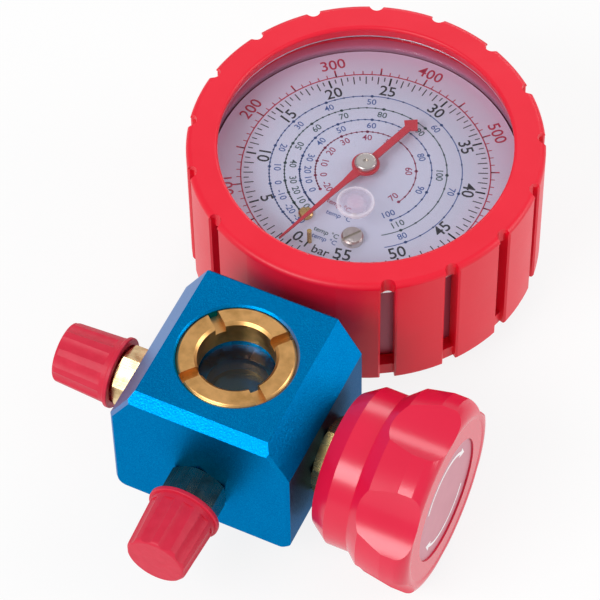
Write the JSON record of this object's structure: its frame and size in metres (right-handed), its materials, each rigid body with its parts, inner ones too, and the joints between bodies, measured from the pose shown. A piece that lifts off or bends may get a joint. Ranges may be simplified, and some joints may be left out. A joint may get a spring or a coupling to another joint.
{
  "type": "refrigerant manifold gauge",
  "caption": "Single-valve refrigerant manifold gauge: rubber-booted dial gauge on an anodised block with a sight glass, a handwheel valve and capped flare ports.",
  "frame": {"origin": "centre of the gauge case's flat back face", "axes": "+Z out through the dial, +Y from the manifold block to the gauge (12 o'clock), +X towards the handwheel"},
  "size_m": [0.1024, 0.1622, 0.0499],
  "materials": {
    "boot_rubber": "smooth",
    "black_rubber": "smooth",
    "case_steel": "satin",
    "bezel_steel": "polished",
    "lens_clear": "polished",
    "plug_soft": "satin",
    "dial_face": "satin",
    "pointer_paint": "satin",
    "bright_steel": "bright",
    "brass": "turned",
    "block_anodised": "anodised",
    "cap_plastic": "satin",
    "wheel_plastic": "gloss",
    "wheel_label": "satin",
    "white_plastic": "satin"
  },
  "bodies": {
    "manifold": {"boot": "boot_rubber", "case": "case_steel", "bezel": "bezel_steel", "lens_gasket": "black_rubber", "lens": "lens_clear", "lens_plug": "plug_soft", "dial": "dial_face", "dial_screw": "brass", "adjuster": "bright_steel", "stop_post": "brass", "movement_frame": "brass", "bourdon_tube": "brass", "tube_tip": "brass", "socket": "brass", "manifold_block": "block_anodised", "sight_glass": "lens_clear", "sight_seal": "black_rubber", "sight_retainer": "brass", "left_adapter": "brass", "front_adapter": "brass", "bonnet": "brass"},
    "valve_plug": {"seat_tip": "white_plastic"},
    "valve_wheel": {"handwheel": "wheel_plastic", "spindle": "brass", "wheel_screw": "bright_steel", "wheel_cover": "wheel_label"},
    "dial_pointer": {"pointer": "pointer_paint", "pointer_cap": "bright_steel", "pinion_arbor": "bright_steel"},
    "sector": {"sector_gear": "brass"},
    "left_port_cap": {"left_cap": "cap_plastic"},
    "front_port_cap": {"front_cap": "cap_plastic"}
  },
  "joints": [
    {"name": "valve_lift", "type": "slide", "parent": "manifold", "child": "valve_plug", "axis": [1, 0, 0], "range_m": [0, 0.002]},
    {"name": "valve_turn", "type": "hinge", "parent": "valve_plug", "child": "valve_wheel", "pos_m": [0, -0.0732, 0.0123], "axis": [1, 0, 0], "range_deg": [0, 720]},
    {"name": "pointer_turn", "type": "hinge", "parent": "manifold", "child": "dial_pointer", "pos_m": [0, 0, 0.024], "axis": [0, 0, 1], "range_deg": [-333, 5]},
    {"name": "sector_turn", "type": "hinge", "parent": "manifold", "child": "sector", "pos_m": [-0.01347, -0.01375, 0.0196], "axis": [0, 0, 1], "range_deg": [-0.62, 40.8]},
    {"name": "left_cap_off", "type": "slide", "parent": "manifold", "child": "left_port_cap", "axis": [-1, 0, 0], "range_m": [0, 0.02]},
    {"name": "front_cap_off", "type": "slide", "parent": "manifold", "child": "front_port_cap", "axis": [0, -1, 0], "range_m": [0, 0.02]}
  ],
  "couplings": [
    {"joint": "valve_lift", "follows": "valve_turn", "m_per_rad": 0.00015915},
    {"joint": "sector_turn", "follows": "pointer_turn", "ratio": -0.12245}
  ]
}
